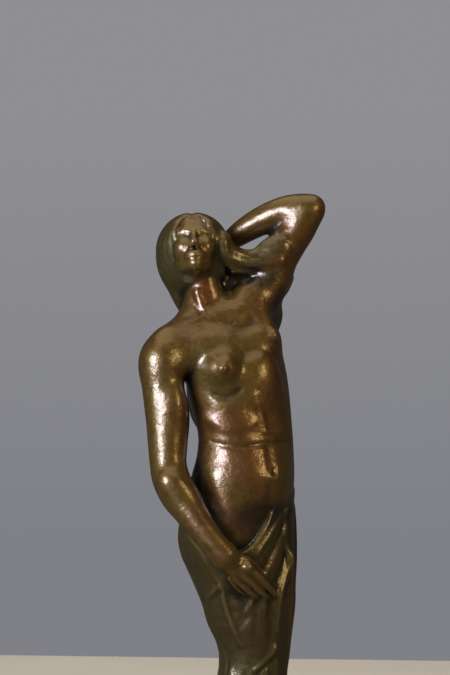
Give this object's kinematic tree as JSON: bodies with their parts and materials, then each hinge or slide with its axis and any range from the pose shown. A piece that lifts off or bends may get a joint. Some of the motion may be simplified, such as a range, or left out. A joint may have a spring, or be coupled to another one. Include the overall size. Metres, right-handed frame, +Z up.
{
  "type": "bronze statuette",
  "caption": "Standing draped figure in cast bronze, one arm raised behind the head and the other holding the cloth at the hip, on a round ground plate and a turned plinth.",
  "frame": {"origin": "centre of the felt foot's underside, on the surface that the statuette stands on", "axes": "+Z up along the plinth's axis; the face looks along -Y; +X is towards the raised elbow"},
  "size_m": [0.0942, 0.092, 0.3502],
  "materials": {
    "patinated_bronze": "glossy brown patina under wax",
    "raw_bronze": "turned and filed",
    "steel": "zinc plated",
    "ebonised_wood": "black stained, satin polish",
    "felt": "wool felt"
  },
  "bodies": {
    "root": {"body_casting": "patinated_bronze", "lowered_arm": "patinated_bronze", "raised_arm": "patinated_bronze", "ground_plate": "patinated_bronze", "core_plug_back": "patinated_bronze", "core_plug_waist": "patinated_bronze", "core_plug_skirt": "patinated_bronze", "lowered_arm_pin": "raw_bronze", "raised_arm_pin": "raw_bronze", "lowered_hand_pin": "raw_bronze", "raised_hand_pin": "raw_bronze", "locating_dowel_1": "raw_bronze", "locating_dowel_2": "raw_bronze", "figure_screw_1": "steel", "figure_screw_2": "steel", "figure_screw_3": "steel", "plinth_stud": "steel", "plinth_washer": "steel", "plinth_nut": "steel", "wooden_plinth": "ebonised_wood", "felt_foot": "felt"}
  },
  "joints": []
}
